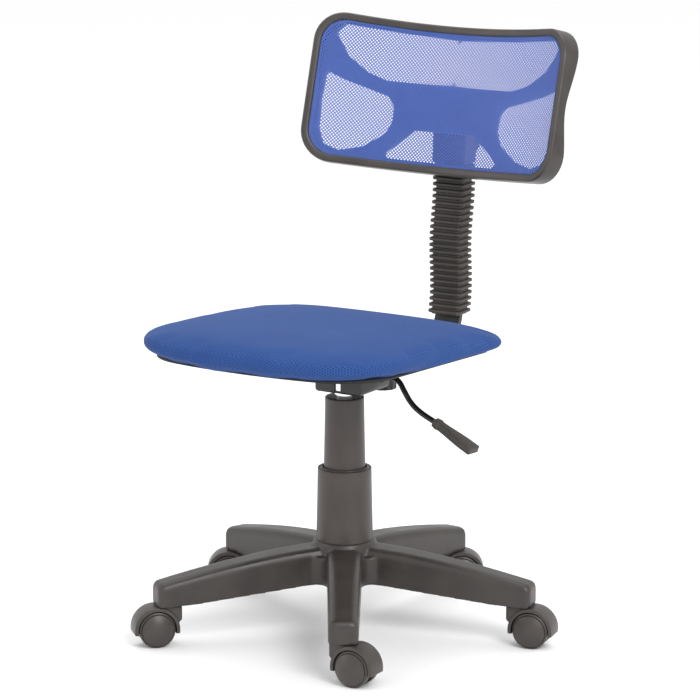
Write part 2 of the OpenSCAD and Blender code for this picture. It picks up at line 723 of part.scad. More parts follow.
star_base();
caster_sockets();
stand_tube();
guide_bush();
thrust_bearing();
lower_cover();
cover_collar();
piston_rod();
piston();
rod_clip();
gas_cylinder();
upper_cover();
taper_socket();
mechanism_box();
seat_plate();
plate_bolts();
t_nuts();
seat_board();
seat_foam();
seat_cover();
underside_cover();
valve_button();
lever_rod();
lever_grip();
back_bar();
bar_bellows();
depth_knob();
depth_screw();
back_bracket();
bracket_screws();
back_frame();
back_rim();
back_mesh();
height_knob();
height_screw();
for (k = [1:5], part = CASTER_PARTS)
    caster(k - 1, part);
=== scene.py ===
# %% [markdown]
# A swivel office chair, dressed for its portrait. The engineering model gives every piece its real
# size and place: the five-leg base, the gas spring, the seat and the small backrest on its bar.
# This notebook loads that model as a fixed frame and gives it its looks, one piece at a time, so
# that each step can be read, run and changed by itself.

# %% Load the frame
import math

import bmesh
import bpy
from mathutils import Matrix, Vector


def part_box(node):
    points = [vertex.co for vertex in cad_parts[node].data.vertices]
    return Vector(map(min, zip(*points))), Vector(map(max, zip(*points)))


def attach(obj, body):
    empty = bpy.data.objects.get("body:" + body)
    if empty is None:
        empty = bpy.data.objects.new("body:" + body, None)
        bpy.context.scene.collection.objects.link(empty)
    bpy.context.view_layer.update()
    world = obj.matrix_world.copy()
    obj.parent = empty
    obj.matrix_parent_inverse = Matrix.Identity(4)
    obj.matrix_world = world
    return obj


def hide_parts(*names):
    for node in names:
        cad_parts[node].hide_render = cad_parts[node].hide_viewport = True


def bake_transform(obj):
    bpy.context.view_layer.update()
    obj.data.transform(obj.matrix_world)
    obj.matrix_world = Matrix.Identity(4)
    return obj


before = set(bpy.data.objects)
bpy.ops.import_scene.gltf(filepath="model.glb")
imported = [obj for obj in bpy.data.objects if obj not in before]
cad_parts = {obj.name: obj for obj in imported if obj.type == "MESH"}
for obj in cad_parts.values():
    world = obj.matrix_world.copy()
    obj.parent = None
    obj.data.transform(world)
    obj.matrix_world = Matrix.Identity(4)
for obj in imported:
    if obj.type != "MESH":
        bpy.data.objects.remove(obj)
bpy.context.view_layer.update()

# %% [markdown]
# Blender counts in metres and a chair maker in millimetres, so one small function turns a point in
# millimetres into Blender's units. Most edit-mode tools act on everything that is selected, and the
# loaded frame comes in selected, so the second habit is to empty the selection before each piece.

# %% Units and selection
MM = 0.001
WELD = 0.01 * MM


def mm(*values):
    """A point or a size given in millimetres, in metres."""
    return tuple(value * MM for value in values)


def only(piece):
    """Selects piece alone, in object mode."""
    if bpy.context.mode != "OBJECT":
        bpy.ops.object.mode_set(mode="OBJECT")
    bpy.ops.object.select_all(action="DESELECT")
    piece.select_set(True)
    bpy.context.view_layer.objects.active = piece
    return piece


def new_piece(add_primitive, **settings):
    """Adds a primitive with nothing else selected, and returns it."""
    if bpy.context.mode != "OBJECT":
        bpy.ops.object.mode_set(mode="OBJECT")
    bpy.ops.object.select_all(action="DESELECT")
    add_primitive(**settings)
    return bpy.context.object


def settle(piece):
    """Moves a piece's place, turn and size into its mesh, so that the object sits at the origin."""
    only(piece)
    bpy.ops.object.transform_apply(location=True, rotation=True, scale=True)
    return piece


def block(place, size):
    """A cube with its middle at place and that size along X, Y and Z, in millimetres."""
    return settle(new_piece(bpy.ops.mesh.primitive_cube_add, size=1, location=mm(*place), scale=mm(*size)))


def cylinder(radius, length, place, vertices, lying=False):
    """A cylinder along Z, or along Y when it is lying, with its middle at place, in millimetres."""
    return settle(new_piece(bpy.ops.mesh.primitive_cylinder_add, vertices=vertices, radius=radius * MM,
                            depth=length * MM, location=mm(*place),
                            rotation=(math.pi / 2 if lying else 0, 0, 0)))


print("one millimetre is", MM, "metres")

# %% [markdown]
# In edit mode a maker picks faces and edges by eye. A script picks them by a rule on their place or
# on the way they face. Modifiers do the rounding and cutting, and each is applied at once, so what
# is left is a plain mesh.

# %% Picking and modifiers
def edit(piece, kind="FACE"):
    """Enters edit mode with nothing selected."""
    only(piece)
    bpy.ops.object.mode_set(mode="EDIT")
    bpy.ops.mesh.select_mode(type=kind)
    bpy.ops.mesh.select_all(action="DESELECT")


def pick_all():
    """Selects everything in the mesh that is being edited."""
    bpy.ops.mesh.select_all(action="SELECT")


def face_outward():
    """Turns all the faces of the mesh that is being edited outwards."""
    pick_all()
    bpy.ops.mesh.normals_make_consistent(inside=False)


def pick_faces(piece, rule):
    """Selects the faces for which rule(centre, normal) holds."""
    mesh = bmesh.from_edit_mesh(piece.data)
    for face in mesh.faces:
        face.select_set(bool(rule(face.calc_center_median(), face.normal)))
    bmesh.update_edit_mesh(piece.data)


def pick_edges(piece, rule):
    """Selects the edges for which rule(one end, other end) holds."""
    mesh = bmesh.from_edit_mesh(piece.data)
    for edge in mesh.edges:
        edge.select_set(bool(rule(edge.verts[0].co, edge.verts[1].co)))
    bmesh.update_edit_mesh(piece.data)


def extrude(x, y, z):
    """Pulls the selection out by that many millimetres."""
    bpy.ops.mesh.extrude_region_move(TRANSFORM_OT_translate={"value": mm(x, y, z)})


def resize(x, y, z, centre):
    """Scales the selection about a centre given in millimetres."""
    bpy.ops.transform.resize(value=(x, y, z), center_override=mm(*centre))


def shade(piece, angle=40):
    """Shades a piece smooth, except where it turns by more than angle."""
    only(piece)
    bpy.ops.object.shade_smooth_by_angle(angle=math.radians(angle))
    return piece


def modify(piece, kind, **settings):
    """Adds a modifier, sets it and applies it."""
    only(piece)
    modifier = piece.modifiers.new(kind.title(), kind)
    for name, value in settings.items():
        setattr(modifier, name, value)
    bpy.ops.object.modifier_apply(modifier=modifier.name)
    return piece


def soften(piece, width, segments=2, angle=35):
    """Rounds every edge that turns by more than angle, then shades the piece smooth."""
    modify(piece, "BEVEL", width=width * MM, segments=segments, limit_method="ANGLE",
           angle_limit=math.radians(angle), use_clamp_overlap=True)
    return shade(piece)


print("helpers ready")

# %% [markdown]
# Round covers, rings and wheels are turned on a lathe: one point is pushed out along the outline,
# and the outline is spun round the axis. The seam and the poles are merged, and the normals are
# made to face outwards.

# %% A lathe
def lathe(name, outline, steps=96):
    """Spins an outline of (radius, height) points, in millimetres, round the Z axis."""
    radius, height = outline[0]
    piece = new_piece(bpy.ops.mesh.primitive_plane_add, size=MM, location=mm(radius, 0, height))
    settle(piece)
    edit(piece, "VERT")
    pick_all()
    bpy.ops.mesh.merge(type="CENTER")
    for (r0, z0), (r1, z1) in zip(outline, outline[1:]):
        extrude(r1 - r0, 0, z1 - z0)
    pick_all()
    bpy.ops.mesh.spin(steps=steps, angle=math.tau, center=(0, 0, 0), axis=(0, 0, 1))
    pick_all()
    bpy.ops.mesh.remove_doubles(threshold=WELD)
    bpy.ops.mesh.normals_make_consistent(inside=False)
    piece.name = name
    return shade(piece)


def arc(radius, height, size, first, last, steps=5):
    """Points of a round corner of that size, between two angles in degrees."""
    turns = [math.radians(first + (last - first) * i / steps) for i in range(steps + 1)]
    return [(radius + size * math.cos(turn), height + size * math.sin(turn)) for turn in turns]


print("the lathe turns (radius, height) outlines")

# %% [markdown]
# The camera stands five metres away with a long lens, at about chest height, turned a third of a
# right angle to the chair's left side. A long lens keeps the verticals upright, as in a catalogue.
# It looks at the middle of the chair.

# %% Camera
CAMERA_DISTANCE = 5.0
CAMERA_HEIGHT = 1.506
CAMERA_TURN = math.radians(31.4)
LENS = 193.5

aim = Vector((0.0063, 0.0038, 0.394))
bpy.ops.object.camera_add()
camera = bpy.context.object
camera.name = "camera"
camera.location = (
    CAMERA_DISTANCE * math.sin(CAMERA_TURN),
    -CAMERA_DISTANCE * math.cos(CAMERA_TURN),
    CAMERA_HEIGHT,
)
camera.rotation_euler = (aim - camera.location).to_track_quat("-Z", "Y").to_euler()
camera.data.lens = LENS
camera.data.clip_end = 50
bpy.context.scene.camera = camera
print("camera", [round(x, 3) for x in camera.location])

# %% [markdown]
# A plain pale floor and large soft lights leave only the chair to look at. The key light hangs high
# on the chair's left front, a weaker one fills the other side, and the white surroundings light
# the rest. Standard colour keeps the fabric's blue as saturated as it is dyed.

# %% Floor and light
scene = bpy.context.scene
scene.view_settings.view_transform = "Standard"
floor = new_piece(bpy.ops.mesh.primitive_plane_add, size=24)
floor.name = "floor"

world = bpy.data.worlds.new("white_room")
scene.world = world
world.use_nodes = True
world.node_tree.nodes["Background"].inputs["Color"].default_value = (1, 1, 1, 1)
world.node_tree.nodes["Background"].inputs["Strength"].default_value = 1.0


def soft_light(name, place, size, power):
    """A square area light that looks at the seat."""
    bpy.ops.object.light_add(type="AREA", location=place)
    light = bpy.context.object
    light.name = name
    light.data.size = size
    light.data.energy = power
    light.rotation_euler = (Vector((0, 0, 0.45)) - light.location).to_track_quat("-Z", "Y").to_euler()
    return light


soft_light("key", (2.6, -1.6, 2.6), 1.6, 80)
soft_light("fill", (-2.8, -2.4, 1.6), 2.2, 18)
soft_light("top", (-0.4, 0.6, 3.0), 1.8, 25)

# %% [markdown]
# Colours are written as the hex codes that a paint chart gives, and one function turns them into
# the linear values that a shader takes. A second function adds a node with its settings and links.
# Nearly every material needs the same start, the Principled shader and the piece's own
# coordinates, so a third function sets those up.

# %% Colour and nodes
def colour(code):
    """An sRGB hex code as a linear colour."""
    channels = [int(code[i:i + 2], 16) / 255 for i in (1, 3, 5)]
    return tuple(c / 12.92 if c <= 0.04045 else ((c + 0.055) / 1.055) ** 2.4 for c in channels) + (1,)


def add(material, kind, inputs=None, **settings):
    """Adds a shader node; each input is a value or another node's output."""
    tree = material.node_tree
    node = tree.nodes.new("ShaderNode" + kind)
    for name, value in settings.items():
        setattr(node, name, value)
    for socket, value in (inputs or {}).items():
        if isinstance(value, bpy.types.NodeSocket):
            tree.links.new(value, node.inputs[socket])
        else:
            node.inputs[socket].default_value = value
    return node


def new_material(name, **sockets):
    """A Principled material with plain values on its sockets."""
    material = bpy.data.materials.new(name)
    material.use_nodes = True
    shader = material.node_tree.nodes["Principled BSDF"]
    for socket, value in sockets.items():
        shader.inputs[socket.replace("_", " ")].default_value = value
    return material, shader


def per_mm(size):
    """The scale at which a texture repeats once every size millimetres."""
    return 1 / (size * MM)


def feed(material, shader, socket, output):
    """Links a node's output into the shader."""
    material.node_tree.links.new(output, shader.inputs[socket])


print("brick red is", colour("#8f3a2c"))

# %% [markdown]
# Moulded plastic is never one flat colour. The tool's surface is spark-eroded to a fine grain, which
# scatters the highlight, and the glass fibre and the flow of the melt leave slow, cloudy changes in
# gloss. So each plastic has two noises: a grain under a millimetre, drawn a little coarser than
# real so that it shows, and a cloud of some centimetres. Only colour, gloss and grain differ
# between them.

# %% Moulded plastics
def moulded(name, dark, light, roughness, grain=0.9, depth=0.12, cloud=45):
    """Moulded plastic: two near colours, a roughness and a grain size in millimetres."""
    material, shader = new_material(name, IOR=1.5)
    place = add(material, "TexCoord")
    clouds = add(material, "TexNoise", {"Vector": place.outputs["Object"], "Scale": per_mm(cloud),
                                        "Detail": 3.0})
    ramp = add(material, "ValToRGB", {"Fac": clouds.outputs["Fac"]})
    ramp.color_ramp.elements[0].position = 0.35
    ramp.color_ramp.elements[0].color = colour(dark)
    ramp.color_ramp.elements[1].position = 0.65
    ramp.color_ramp.elements[1].color = colour(light)
    feed(material, shader, "Base Color", ramp.outputs["Color"])
    gloss = add(material, "MapRange", {"Value": clouds.outputs["Fac"], "From Min": 0.3,
                                       "From Max": 0.7, "To Min": roughness - 0.05,
                                       "To Max": roughness + 0.05})
    feed(material, shader, "Roughness", gloss.outputs["Result"])
    grains = add(material, "TexNoise", {"Vector": place.outputs["Object"], "Scale": per_mm(grain),
                                        "Detail": 2.0})
    bump = add(material, "Bump", {"Height": grains.outputs["Fac"], "Strength": depth,
                                  "Distance": 0.3 * MM})
    feed(material, shader, "Normal", bump.outputs["Normal"])
    return material


nylon = moulded("glass_filled_nylon_moulded", "#2d2826", "#37312e", 0.42)
cover_plastic = moulded("polypropylene_covers_moulded", "#352e2b", "#3f3734", 0.42, grain=0.7)
caster_plastic = moulded("caster_nylon_moulded", "#332e2b", "#3d3734", 0.4)
rim_plastic = moulded("backrest_rim_nylon_moulded", "#2f2b29", "#3a3532", 0.38)
strut_plastic = moulded("blue_polypropylene_struts_moulded", "#3c5f9a", "#476ca8", 0.5)
knob_plastic = moulded("knob_abs_moulded", "#25201e", "#2d2826", 0.45)
grip_plastic = moulded("lever_grip_pvc_dipped", "#322d2a", "#3b3632", 0.55, grain=1.2, depth=0.3)
bush_plastic = moulded("acetal_bush_turned", "#1f1d1c", "#262322", 0.3)
rubber = moulded("bellows_rubber_moulded", "#2b2623", "#352f2b", 0.5, grain=1.5)
print("plastics:", len([m for m in bpy.data.materials]))

# %% [markdown]
# The steel parts have four finishes. The mechanism and the bar are powder coated: a thick black
# skin with a slight orange peel of about two millimetres. Screws and stems are zinc plated, a
# bluish metal with a soft patchy haze. The sliding cylinder is hard chrome, ground round and then
# plated, so it mirrors with the finest of turning lines. The bearing and rod are bare ground steel.

# %% Steel finishes
def powder_coat(name, dark, roughness):
    """Powder-coated steel: a matt skin with orange peel."""
    material, shader = new_material(name, Base_Color=colour(dark), Roughness=roughness)
    place = add(material, "TexCoord")
    peel = add(material, "TexNoise", {"Vector": place.outputs["Object"], "Scale": per_mm(2),
                                      "Detail": 1.0})
    bump = add(material, "Bump", {"Height": peel.outputs["Fac"], "Strength": 0.15,
                                  "Distance": 0.2 * MM})
    feed(material, shader, "Normal", bump.outputs["Normal"])
    return material


def plated(name, dark, light, roughness, patch):
    """Plated or ground metal whose haze changes in patches of that many millimetres."""
    material, shader = new_material(name, Metallic=1.0)
    place = add(material, "TexCoord")
    haze = add(material, "TexNoise", {"Vector": place.outputs["Object"], "Scale": per_mm(patch),
                                      "Detail": 4.0})
    ramp = add(material, "ValToRGB", {"Fac": haze.outputs["Fac"]})
    ramp.color_ramp.elements[0].color = colour(dark)
    ramp.color_ramp.elements[1].color = colour(light)
    feed(material, shader, "Base Color", ramp.outputs["Color"])
    gloss = add(material, "MapRange", {"Value": haze.outputs["Fac"], "To Min": roughness * 0.7,
                                       "To Max": roughness * 1.4})
    feed(material, shader, "Roughness", gloss.outputs["Result"])
    return material


black_steel = powder_coat("steel_powder_coated_black", "#1b1918", 0.4)
lever_steel = powder_coat("lever_rod_painted_black", "#141312", 0.28)
zinc_steel = plated("steel_zinc_plated", "#8d9094", "#b9bcc0", 0.35, 4)
bearing_steel = plated("bearing_steel_ground", "#9a9a9c", "#b5b5b7", 0.2, 6)
chrome = plated("cylinder_hard_chrome", "#d8d9db", "#e6e7e8", 0.08, 20)
print("metals ready")

# %% [markdown]
# The board under the foam is birch plywood, and its edge shows the glue lines of its thin plies,
# each about a millimetre and a half. A wave texture across the thickness draws them, and a long
# stretched noise draws the grain of the face.

# %% Plywood
plywood, shader = new_material("birch_plywood_sanded", Roughness=0.6)
place = add(plywood, "TexCoord")
plies = add(plywood, "TexWave", {"Vector": place.outputs["Object"], "Scale": per_mm(1.5) * math.tau / 20,
                                 "Distortion": 0.6}, bands_direction="Z")
stretch = add(plywood, "Mapping", {"Vector": place.outputs["Object"], "Scale": (1, 0.08, 1)})
grain = add(plywood, "TexNoise", {"Vector": stretch.outputs["Vector"], "Scale": per_mm(6),
                                  "Detail": 4.0})
ramp = add(plywood, "ValToRGB", {"Fac": grain.outputs["Fac"]})
ramp.color_ramp.elements[0].color = colour("#b08a5a")
ramp.color_ramp.elements[1].color = colour("#d8b98a")
glue = add(plywood, "MapRange", {"Value": plies.outputs["Fac"], "To Min": 0.7, "To Max": 1.0})
tint = add(plywood, "VectorMath", {0: ramp.outputs["Color"], 1: glue.outputs["Result"]},
           operation="MULTIPLY")
feed(plywood, shader, "Base Color", tint.outputs["Vector"])
print(plywood.name)

# %% [markdown]
# The seat is covered in spacer fabric, a thick knitted polyester with a face like a fine honeycomb:
# small dimples in staggered rows about three millimetres apart. The dimples are painted in a darker
# shadow colour, as painted shade in the hollows, and the threads between them in the brighter thread
# colour. The pattern follows the cloth, so it reads the cushion's own UV map, which is laid out in
# metres. Three sets of rows crossing at sixty degrees make the dimples, and a little sheen gives the
# pale bloom that polyester pile has at grazing angles.

# %% Seat fabric
def knitted(name, thread, shadow, spacing, depth, coordinates, sheen):
    """Knitted polyester with staggered dimples, spacing millimetres apart."""
    material, shader = new_material(name, Roughness=0.85, Sheen_Weight=sheen, Sheen_Roughness=0.4,
                                    Specular_IOR_Level=0.25)
    shader.inputs["Sheen Tint"].default_value = colour("#9db6e8")
    place = add(material, "TexCoord").outputs[coordinates]
    rows = []
    for turn in (0, 60, 120):
        across = add(material, "Mapping", {"Vector": place, "Rotation": (0, 0, math.radians(turn))})
        wave = add(material, "TexWave", {"Vector": across.outputs["Vector"],
                                         "Scale": per_mm(spacing) * math.tau / 20},
                   wave_profile="SIN", bands_direction="X")
        rows.append(wave.outputs["Fac"])
    first = add(material, "Math", {0: rows[0], 1: rows[1]}, operation="ADD")
    total = add(material, "Math", {0: first.outputs["Value"], 1: rows[2]}, operation="ADD")
    dimple = add(material, "MapRange", {"Value": total.outputs["Value"], "From Min": 0.9,
                                        "From Max": 2.4})
    cloud = add(material, "TexNoise", {"Vector": place, "Scale": per_mm(60), "Detail": 3.0})
    lift = add(material, "MapRange", {"Value": cloud.outputs["Fac"], "From Min": 0.3,
                                      "From Max": 0.7, "To Min": 0.75, "To Max": 1.0})
    shade = add(material, "Math", {0: dimple.outputs["Result"], 1: lift.outputs["Result"]},
                operation="MULTIPLY")
    # The dimples take the shadow colour, as painted shade in the hollows; the threads take the thread colour.
    ramp = add(material, "ValToRGB", {"Fac": shade.outputs["Value"]})
    ramp.color_ramp.elements[0].color = colour(shadow)
    ramp.color_ramp.elements[1].color = colour(thread)
    feed(material, shader, "Base Color", ramp.outputs["Color"])
    bump = add(material, "Bump", {"Height": dimple.outputs["Result"], "Strength": depth,
                                  "Distance": 0.5 * MM})
    feed(material, shader, "Normal", bump.outputs["Normal"])
    return material


# Thread colour, then the darker colour painted as shade in the dimples.
seat_fabric = knitted("spacer_fabric_polyester_blue", "#2c528c", "#1a326b", 3.2, 0.5, "UV", 0.1)
print(seat_fabric.name)

# %% [markdown]
# The backrest's net is knitted from thick blue polyester yarn, and its holes are real holes in the
# mesh that follows, so the material only draws the yarn: fine cross ribs a third of a millimetre
# apart, drawn at half a millimetre, with a slow change of shade. The cloth under the seat is black
# felt, pressed from loose fibres.

# %% Net yarn and felt
def yarn(name, dark, light, roughness, rib):
    """Spun or felted fibre: rib is its scale in millimetres."""
    material, shader = new_material(name, Roughness=roughness, Sheen_Weight=0.2)
    place = add(material, "TexCoord")
    fibre = add(material, "TexNoise", {"Vector": place.outputs["Object"], "Scale": per_mm(rib),
                                       "Detail": 3.0})
    ramp = add(material, "ValToRGB", {"Fac": fibre.outputs["Fac"]})
    ramp.color_ramp.elements[0].position = 0.3
    ramp.color_ramp.elements[0].color = colour(dark)
    ramp.color_ramp.elements[1].position = 0.7
    ramp.color_ramp.elements[1].color = colour(light)
    feed(material, shader, "Base Color", ramp.outputs["Color"])
    bump = add(material, "Bump", {"Height": fibre.outputs["Fac"], "Strength": 0.3,
                                  "Distance": 0.2 * MM})
    feed(material, shader, "Normal", bump.outputs["Normal"])
    return material


net_yarn = yarn("net_polyester_yarn_blue", "#30479a", "#4a68b4", 0.6, 0.5)
felt = yarn("underseat_felt_black", "#1a1918", "#272524", 0.95, 0.8)
print(net_yarn.name, felt.name)

# %% [markdown]
# The floor is matt and almost white, so that it takes only a faint contact shadow.

# %% Floor finish
pale_floor, shader = new_material("pale_floor_matt", Base_Color=colour("#fbfbfb"), Roughness=0.9)
floor.data.materials.append(pale_floor)
print(pale_floor.name)

# %% [markdown]
# A finished piece needs the same four things each time: a name, a material, the body that carries
# it, and the engineering pieces that it stands for.

# %% Handing a piece over
def finish_piece(piece, name, material, body, slot, *nodes):
    """Names a piece, gives it its material and ties it to a body and to the nodes it replaces."""
    settle(piece)
    piece.name = name
    piece.data.name = name
    piece.data.materials.clear()
    piece.data.materials.append(material)
    if body:
        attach(piece, body)
    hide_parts(*nodes)
    print(name, "faces:", len(piece.data.polygons))
    return piece


def join(first, *others):
    """Joins pieces into the first one."""
    only(first)
    for other in others:
        other.select_set(True)
    bpy.ops.object.join()
    return first


def cut_away(piece, cutter, operation="DIFFERENCE"):
    """Takes the cutter's volume out of a piece and deletes the cutter."""
    modify(piece, "BOOLEAN", operation=operation, solver="EXACT", object=cutter)
    bpy.data.objects.remove(cutter)
    return piece


def fuse(piece, other):
    """Makes two overlapping pieces into one solid."""
    return cut_away(piece, other, "UNION")


print("ready to model")

# %% [markdown]
# The base is one nylon moulding: a hub and five legs that fall in a slow bow to their tips. Each
# leg has a flat top with sloping shoulders and upright sides, and where two legs meet, the corner
# is filled with a wide round. One leg is pulled out of a cube, station by station. The five legs,
# the hub and the corner fillets are then fused by a voxel remesh, and smoothing turns the steps
# into the soft radii of a moulding. The bores and the ribbed pockets underneath are cut last.

# %% Base sizes
STEM_CIRCLE = 250
HUB_R = 42
HUB_TOP = 130
ROOT_LOW, ROOT_TOP = 73, 123
TIP_LOW, TIP_TOP = 57, 88
ROOT_HALF, TIP_HALF = 24, 20
LEG_START, LEG_END = 34.5, 270
BASE_TURN = 31
STATIONS = 9
LEG_ANGLES = [math.radians(-90 + BASE_TURN + 72 * k) for k in range(5)]


def leg_top(r):
    """Height of a leg's top at a distance from the column."""
    share = max(0, (r - LEG_START) / (LEG_END - LEG_START))
    return TIP_TOP + (ROOT_TOP - TIP_TOP) * (1 - share ** 1.5)


def leg_low(r):
    """Height of a leg's underside: level at the tip, rising to the hub."""
    tip, root = STEM_CIRCLE - TIP_HALF, HUB_R + 4
    share = min(1, max(0, (r - root) / (tip - root)))
    return ROOT_LOW + (TIP_LOW - ROOT_LOW) * share


def leg_half(r):
    """Half the width of a leg."""
    share = max(0, (r - LEG_START) / (LEG_END - LEG_START))
    return ROOT_HALF + (TIP_HALF - ROOT_HALF) * share


print("a leg is", LEG_END - LEG_START, "mm long")

# %% One leg
SHOULDER = 9


def one_leg():
    """A leg along +X, from inside the hub to its tip."""
    leg = block((LEG_START - 8, 0, (ROOT_LOW + ROOT_TOP) / 2), (16, 2 * ROOT_HALF, ROOT_TOP - ROOT_LOW))
    edit(leg)
    pick_faces(leg, lambda centre, normal: normal.x > 0.9)
    radii = [LEG_START + (LEG_END - LEG_START) * i / STATIONS for i in range(STATIONS + 1)]
    for r0, r1 in zip(radii, radii[1:]):
        middle0, middle1 = [(leg_top(r) + leg_low(r)) / 2 for r in (r0, r1)]
        tall0, tall1 = [leg_top(r) - leg_low(r) for r in (r0, r1)]
        extrude(r1 - r0, 0, middle1 - middle0)
        resize(1, leg_half(r1) / leg_half(r0), tall1 / tall0, (r1, 0, middle1))
    bpy.ops.mesh.select_mode(type="EDGE")
    pick_edges(leg, lambda a, b: abs(a.x - b.x) > MM and a.y * b.y > 0
               and min(a.z - leg_low(a.x / MM) * MM, b.z - leg_low(b.x / MM) * MM) > 20 * MM)
    bpy.ops.mesh.bevel(offset=SHOULDER * MM, segments=2, profile=0.5)
    pick_edges(leg, lambda a, b: min(a.x, b.x) > (LEG_END - 1) * MM and a.z + b.z > 2 * 60 * MM)
    bpy.ops.mesh.bevel(offset=7 * MM, segments=3, profile=0.5)
    only(leg)
    return leg


leg = one_leg()
print("leg faces:", len(leg.data.polygons))

# %% Five legs, hub and corner fillets
FILLET = 19


def fillet_block():
    """The round corners between the legs: a disc with five hollows."""
    reach = (ROOT_HALF + FILLET) / math.tan(math.radians(36))
    away = (ROOT_HALF + FILLET) / math.sin(math.radians(36))
    low, high = ROOT_LOW, ROOT_TOP - SHOULDER - 2
    corners = cylinder(reach - 1, high - low, (0, 0, (low + high) / 2), 80)
    for angle in LEG_ANGLES:
        bite = angle + math.radians(36)
        place = (away * math.cos(bite), away * math.sin(bite), 95)
        cut_away(corners, cylinder(FILLET, 100, place, 64))
    return corners


legs = []
for angle in LEG_ANGLES:
    only(leg)
    bpy.ops.object.duplicate()
    copy = bpy.context.object
    copy.rotation_euler.z = angle
    legs.append(settle(copy))
bpy.data.objects.remove(leg)
hub = lathe("hub", [(0, ROOT_LOW - 1), (HUB_R, ROOT_LOW - 1), (HUB_R + 3, ROOT_TOP - 8),
                    (HUB_R + 1, HUB_TOP - 1.5), (HUB_R - 0.5, HUB_TOP), (0, HUB_TOP)])
base = join(hub, fillet_block(), *legs)
modify(base, "REMESH", mode="VOXEL", voxel_size=1.9 * MM, adaptivity=0.0)
modify(base, "SMOOTH", factor=0.5, iterations=6)
print("fused base faces:", len(base.data.polygons))

# %% Bores and underside pockets
RIB_PITCH = 42
WALL = 4


def base_cutters():
    """Column bore, cover pocket, stem bores and the pockets between the ribs."""
    tools = [lathe("cutter", [(0, 60), (25.05, 60), (25.05, 122), (39.05, 122), (39.05, 140), (0, 140)])]
    for angle in LEG_ANGLES:
        turn = Matrix.Rotation(angle, 4, "Z")
        start = HUB_R + 14
        while start < STEM_CIRCLE - 34:
            end = min(start + RIB_PITCH - WALL, STEM_CIRCLE - 16)
            half = leg_half(end) - WALL - 1
            top = leg_top(end) - SHOULDER - 3
            tool = block(((start + end) / 2, 0, (top + 40) / 2), (end - start, 2 * half, top - 40))
            tool.data.transform(turn)
            tools.append(tool)
            start += RIB_PITCH
        stem = cylinder(7.1, 42, (STEM_CIRCLE, 0, 61), 48)
        stem.data.transform(turn)
        tools.append(stem)
    return join(*tools)


cut_away(base, base_cutters())
finish_piece(shade(base, 38), "moulded_star_base", nylon, "base", "base_nylon", "star_base")

# %% [markdown]
# The column wears two telescopic covers and a collar. All are turned pieces with soft rims: the
# lower cover stands in the hub's pocket, the upper one slides down into it when the seat sinks,
# and the collar rides in the lower cover's mouth as a wiper.

# %% Column covers
lower = lathe("lower", [(37, 122.2), (39, 122.2)] + [(39 - 0.2 * i, 128 + 10 * i) for i in range(11)][:-1]
              + arc(36.2, 229.2, 0.8, 0, 180, 6) + [(35.2, 222), (36.2, 150), (37, 123)] + [(37, 122.2)])
finish_piece(lower, "lower_column_cover", cover_plastic, "base", "cover_plastic", "lower_cover")

collar = lathe("collar", [(30.35, 224.2), (34.6, 224.2), (34.6, 229.4), (32.4, 230.2)]
               + arc(31.4, 231.0, 0.9, 0, 170, 5) + [(30.35, 230.6), (30.35, 224.2)])
finish_piece(collar, "cover_wiper_collar", cover_plastic, "base", "cover_plastic", "cover_collar")

upper = lathe("upper", [(28.0, 190), (29.6, 190), (29.1, 215), (28.2, 250), (27.4, 290), (26.9, 320)]
              + arc(24.9, 327.8, 2.0, 0, 90, 6) + [(14.4, 329.8), (14.4, 327), (24.4, 327), (26.2, 290),
                                                    (28.0, 191), (28.0, 190)])
finish_piece(upper, "upper_column_cover", cover_plastic, "seat_unit", "cover_plastic", "upper_cover")

# %% [markdown]
# A caster has a hood with a fender that covers the tops of both wheels, and a square boss that
# takes the stem. Its front is upright and its lower corner is cut at a slant. The hood is a fat
# disc whose lower part is sliced off, joined to the boss and hollowed for the two wheels, with a
# web left between them. It is modelled once, at the origin, and copied to the five legs.

# %% Caster hood
WHEEL_R, WHEEL_W = 25, 18
TRAIL = 20
HOOD_R, HOOD_HALF, HOOD_TOP = 31.4, 16.5, 56.4
WEB_HALF = 6.5


def disc(radius, depth, y):
    """A disc on the wheels' axis, its middle at y."""
    return cylinder(radius, depth, (TRAIL, y, WHEEL_R), 80, lying=True)


def caster_hood():
    """Fender and boss, rounded, with the wheels' hollows cut out."""
    fender = disc(HOOD_R, 2 * HOOD_HALF, 0)
    edit(fender)
    pick_all()
    bpy.ops.mesh.bisect(plane_co=mm(0, 0, WHEEL_R - 6), plane_no=(0, 0, 1), use_fill=True,
                        clear_inner=True)
    soften(fender, 2.4, 3, 50)
    low, high = HOOD_TOP - 28, HOOD_TOP
    boss = block((2.5, 0, (low + high) / 2), (35, 26, high - low))
    edit(boss)
    pick_all()
    bpy.ops.mesh.bisect(plane_co=mm(-15, 0, low + 9), plane_no=(1, 0, 1), use_fill=True,
                        clear_inner=True)
    soften(boss, 2, 3, 40)
    fuse(fender, boss)
    for side in (-1, 1):
        hollow = disc(WHEEL_R + 1.6, 2 * HOOD_HALF, side * (WEB_HALF + HOOD_HALF))
        cut_away(fender, hollow)
    return shade(fender)


hood = caster_hood()
print("hood faces:", len(hood.data.polygons))

# %% Caster wheel
INNER = WEB_HALF + 0.4


